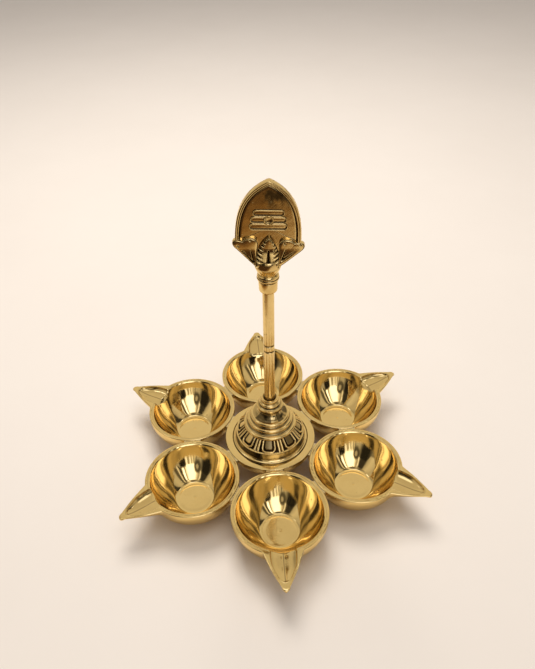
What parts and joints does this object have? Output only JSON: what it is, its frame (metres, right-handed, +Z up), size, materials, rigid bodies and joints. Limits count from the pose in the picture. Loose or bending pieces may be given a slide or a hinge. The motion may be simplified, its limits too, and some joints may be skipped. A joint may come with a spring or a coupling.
{
  "type": "oil lamp",
  "caption": "Brass diya: a ring of spouted oil bowls brazed round a cup with a stepped boss, and a screw-off stem handle with a leaf finial",
  "frame": {"origin": "on the lamp's axis, on the plane its bowls stand on", "axes": "+Z up along the stem; -Y out along the front bowl's spout, and the finial's leaf faces -Y"},
  "size_m": [0.1612, 0.1838, 0.174],
  "materials": {
    "polished_brass": "bright polished, turned inside on a lathe",
    "cast_brass": "cast and polished, darker in the recesses",
    "rod_brass": "drawn rod, satin with fine marks",
    "braze_metal": "pale braze, filed smooth",
    "plain_steel": "plain turned steel"
  },
  "bodies": {
    "lamp": {"bowl_1": "polished_brass", "bowl_2": "polished_brass", "bowl_3": "polished_brass", "bowl_4": "polished_brass", "bowl_5": "polished_brass", "bowl_6": "polished_brass", "centre_cup": "polished_brass", "boss": "cast_brass", "lower_stem": "rod_brass", "joint_stud": "plain_steel", "base_washer": "plain_steel", "base_nut": "plain_steel", "cup_braze_1": "braze_metal", "cup_braze_2": "braze_metal", "cup_braze_3": "braze_metal", "cup_braze_4": "braze_metal", "cup_braze_5": "braze_metal", "cup_braze_6": "braze_metal", "rim_braze_1": "braze_metal", "rim_braze_2": "braze_metal", "rim_braze_3": "braze_metal", "rim_braze_4": "braze_metal", "rim_braze_5": "braze_metal", "rim_braze_6": "braze_metal"},
    "ring": {"joint_ring": "rod_brass"},
    "handle": {"upper_stem": "rod_brass", "ferrule": "cast_brass", "finial": "cast_brass"}
  },
  "joints": [
    {"name": "handle_turn", "type": "hinge", "parent": "lamp", "child": "ring", "pos_m": [0, 0, 0.083], "axis": [0, 0, 1], "range_deg": [0, 4680]},
    {"name": "handle_rise", "type": "slide", "parent": "ring", "child": "handle", "axis": [0, 0, 1], "range_m": [0, 0.00826]}
  ],
  "couplings": [
    {"joint": "handle_turn", "follows": "handle_rise", "rad_per_m": 9894.8}
  ]
}
